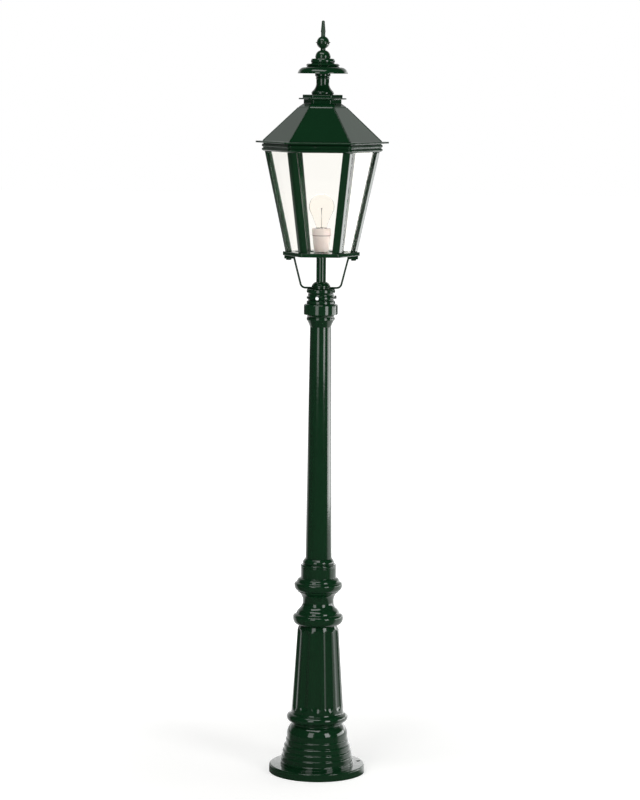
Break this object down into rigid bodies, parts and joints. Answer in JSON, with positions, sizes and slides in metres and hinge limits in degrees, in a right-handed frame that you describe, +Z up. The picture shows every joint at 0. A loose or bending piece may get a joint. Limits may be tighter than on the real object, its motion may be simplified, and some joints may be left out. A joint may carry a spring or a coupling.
{
  "type": "outdoor lamp post",
  "caption": "Short dark green garden lamp post with a fluted cast base, a tapered shaft and a hexagonal glazed lantern whose hipped roof opens on a hinge over the bulb.",
  "frame": {"origin": "centre of the underside of the round foot plate, on the post's axis", "axes": "+Z up along the post, -Y towards the front pane, +X to the right seen from the front"},
  "size_m": [0.314, 0.2866, 1.8],
  "materials": {
    "green_paint": "high gloss dark fir green paint",
    "zinc_steel": "bright zinc plating",
    "pane_glass": "clear sheet glass",
    "porcelain": "glazed white porcelain",
    "contact_brass": "pressed brass",
    "bulb_cap_metal": "bright drawn aluminium",
    "bulb_glass": "clear blown glass",
    "filament_wire": "drawn tungsten wire",
    "cable_sheath": "matt black sheath"
  },
  "bodies": {
    "post": {"base_casting": "green_paint", "fluted_column": "green_paint", "collar_casting": "green_paint", "upper_shaft": "green_paint", "shaft_set_screw": "zinc_steel", "capital": "green_paint", "lantern_socket": "green_paint", "socket_set_screws": "zinc_steel", "stirrup": "green_paint", "stem_dome_nut": "green_paint", "stem_tube": "green_paint", "stem_lock_nuts": "zinc_steel", "floor_frame": "green_paint", "stirrup_bolts": "green_paint", "floor_screws": "zinc_steel", "corner_post_1": "green_paint", "corner_post_2": "green_paint", "corner_post_3": "green_paint", "corner_post_4": "green_paint", "corner_post_5": "green_paint", "corner_post_6": "green_paint", "glass_pane_1": "pane_glass", "glass_pane_2": "pane_glass", "glass_pane_3": "pane_glass", "glass_pane_4": "pane_glass", "glass_pane_5": "pane_glass", "glass_pane_6": "pane_glass", "cornice_frame": "green_paint", "cornice_screws": "zinc_steel", "hinge_fixed_leaf": "green_paint", "hinge_pin": "zinc_steel", "hinge_cornice_screws": "zinc_steel", "closing_screw": "green_paint", "lampholder_body": "porcelain", "lampholder_ring": "porcelain", "thread_shell": "contact_brass", "centre_contact": "contact_brass", "bulb_cap": "bulb_cap_metal", "bulb_glass": "bulb_glass", "bulb_mount": "bulb_glass", "filament": "filament_wire", "lamp_lead": "cable_sheath"},
    "roof": {"roof_shell": "green_paint", "chimney_cap": "green_paint", "neck_baluster": "green_paint", "vent_hat": "green_paint", "finial": "green_paint", "finial_rod": "zinc_steel", "finial_nut": "zinc_steel", "hinge_moving_leaf": "green_paint", "hinge_roof_screws": "zinc_steel"}
  },
  "joints": [
    {"name": "roof_hinge", "type": "hinge", "parent": "post", "child": "roof", "pos_m": [0, 0.14392, 1.516], "axis": [-1, 0, 0], "range_deg": [0, 100]}
  ]
}
